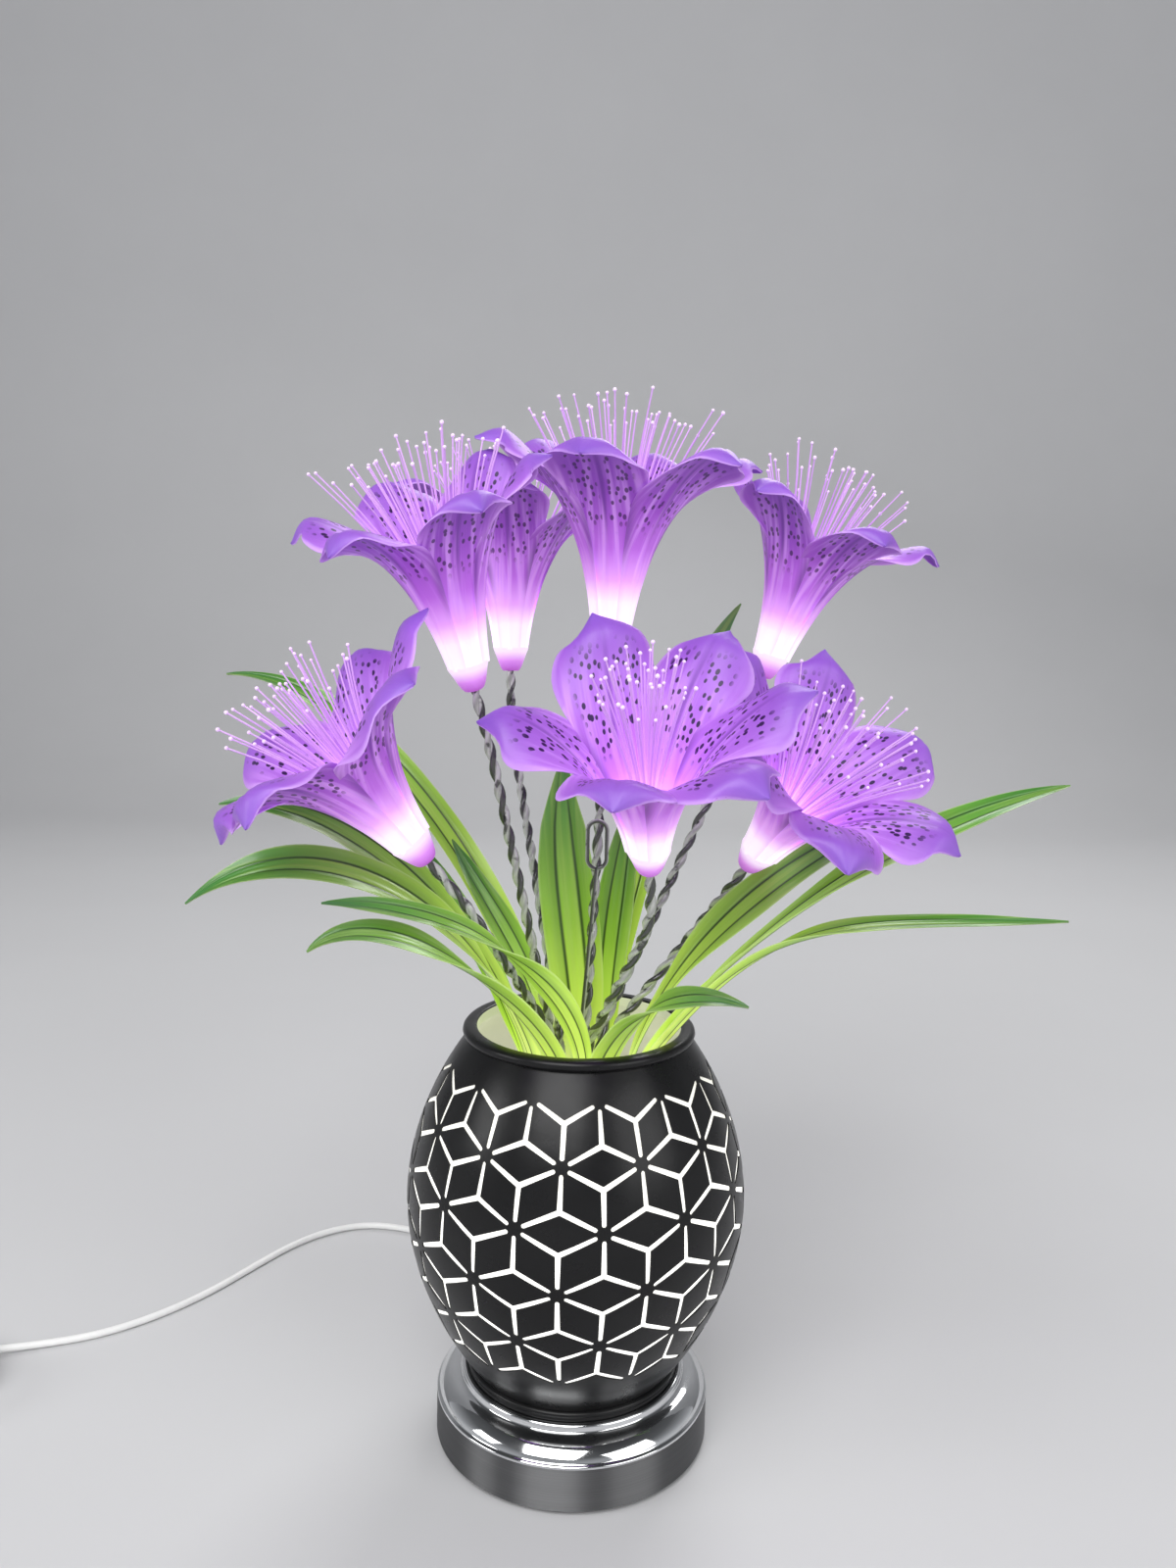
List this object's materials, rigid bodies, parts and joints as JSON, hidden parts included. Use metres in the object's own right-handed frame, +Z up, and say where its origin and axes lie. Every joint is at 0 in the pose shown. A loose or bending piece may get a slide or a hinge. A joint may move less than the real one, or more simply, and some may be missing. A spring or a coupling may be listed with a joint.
{
  "type": "table lamp",
  "caption": "Touch table lamp: chrome base, black glass vase lit through its line pattern, and a lift-out bouquet of lit lilies on wire stems with strap leaves.",
  "frame": {"origin": "middle of the base on the table, under the rubber feet", "axes": "+Z up along the base's and vase's axis, -Y towards the viewer of the picture, +X to the viewer's right"},
  "size_m": [0.4916, 0.2861, 0.4103],
  "materials": {
    "brushed_chrome": "brushed",
    "polished_chrome": "polished",
    "black_plate": "satin",
    "foot_rubber": "matte",
    "screw_steel": "plain",
    "circuit_board": "satin",
    "light_board": "satin",
    "socket_plastic": "satin",
    "cord_white": "satin",
    "tie_plastic": "satin",
    "plug_metal": "plain",
    "opal_glass": "opal, white",
    "black_coat": "satin enamel",
    "post_metal": "satin",
    "hub_plastic": "matte",
    "stem_wire": "gloss",
    "leaf_green": "satin",
    "petal_purple": "translucent foam",
    "calyx_pink": "translucent",
    "lamp_white": "frosted"
  },
  "bodies": {
    "base": {"base_drum": "brushed_chrome", "base_cover": "polished_chrome", "bottom_plate": "black_plate", "rubber_feet": "foot_rubber", "plate_screws": "screw_steel", "touch_board": "circuit_board", "light_ring": "light_board", "post_socket": "socket_plastic", "strain_relief": "cord_white", "cord": "cord_white", "cord_coil": "cord_white", "cord_tail": "cord_white", "coil_tie": "tie_plastic", "plug_grip": "cord_white", "plug_shell": "plug_metal"},
    "vase": {"vase_glass": "opal_glass", "vase_coat": "black_coat"},
    "bouquet": {"centre_post": "post_metal", "stem_hub": "hub_plastic", "support_hook": "stem_wire", "stem_1": "stem_wire", "stem_2": "stem_wire", "stem_3": "stem_wire", "stem_4": "stem_wire", "stem_5": "stem_wire", "stem_6": "stem_wire", "stem_7": "stem_wire", "leaf_left_upper": "leaf_green", "leaf_left_lower": "leaf_green", "leaf_left_front": "leaf_green", "leaf_left_low": "leaf_green", "leaf_centre": "leaf_green", "leaf_centre_right": "leaf_green", "leaf_right_upper": "leaf_green", "leaf_right_long": "leaf_green", "leaf_right_lower": "leaf_green", "leaf_front_curl": "leaf_green", "leaf_pair_left": "leaf_green", "leaf_pair_back": "leaf_green"},
    "flower_1": {"flower_1_petals": "petal_purple", "flower_1_calyx": "calyx_pink", "flower_1_lamp": "lamp_white"},
    "flower_2": {"flower_2_petals": "petal_purple", "flower_2_calyx": "calyx_pink", "flower_2_lamp": "lamp_white"},
    "flower_3": {"flower_3_petals": "petal_purple", "flower_3_calyx": "calyx_pink", "flower_3_lamp": "lamp_white"},
    "flower_4": {"flower_4_petals": "petal_purple", "flower_4_calyx": "calyx_pink", "flower_4_lamp": "lamp_white"},
    "flower_5": {"flower_5_petals": "petal_purple", "flower_5_calyx": "calyx_pink", "flower_5_lamp": "lamp_white"},
    "flower_6": {"flower_6_petals": "petal_purple", "flower_6_calyx": "calyx_pink", "flower_6_lamp": "lamp_white"},
    "flower_7": {"flower_7_petals": "petal_purple", "flower_7_calyx": "calyx_pink", "flower_7_lamp": "lamp_white"}
  },
  "joints": [
    {"name": "vase_lift", "type": "slide", "parent": "base", "child": "vase", "axis": [0, 0, 1], "range_m": [0, 0.06]},
    {"name": "bouquet_lift", "type": "slide", "parent": "vase", "child": "bouquet", "axis": [0, 0, 1], "range_m": [0, 0.15]},
    {"name": "flower_1_nod", "type": "hinge", "parent": "bouquet", "child": "flower_1", "pos_m": [0.0088, 0.0008, 0.315], "axis": [0.848, 0.5299, 0], "range_deg": [0, 6]},
    {"name": "flower_2_nod", "type": "hinge", "parent": "bouquet", "child": "flower_2", "pos_m": [-0.0402, -0.0271, 0.3017], "axis": [0.682, -0.7314, 0], "range_deg": [0, 8]},
    {"name": "flower_3_nod", "type": "hinge", "parent": "bouquet", "child": "flower_3", "pos_m": [-0.0335, 0.068, 0.3064], "axis": [-0.8988, -0.4384, 0], "range_deg": [0, 8]},
    {"name": "flower_4_nod", "type": "hinge", "parent": "bouquet", "child": "flower_4", "pos_m": [0.0725, 0.0355, 0.3069], "axis": [0.3256, 0.9455, 0], "range_deg": [0, 8]},
    {"name": "flower_5_nod", "type": "hinge", "parent": "bouquet", "child": "flower_5", "pos_m": [-0.0537, -0.05, 0.2429], "axis": [0.3746, -0.9272, 0], "range_deg": [0, 8]},
    {"name": "flower_6_nod", "type": "hinge", "parent": "bouquet", "child": "flower_6", "pos_m": [0.0233, -0.054, 0.2416], "axis": [0.9877, -0.1564, 0], "range_deg": [0, 8]},
    {"name": "flower_7_nod", "type": "hinge", "parent": "bouquet", "child": "flower_7", "pos_m": [0.063, -0.008, 0.2353], "axis": [0.766, 0.6428, 0], "range_deg": [0, 8]}
  ]
}
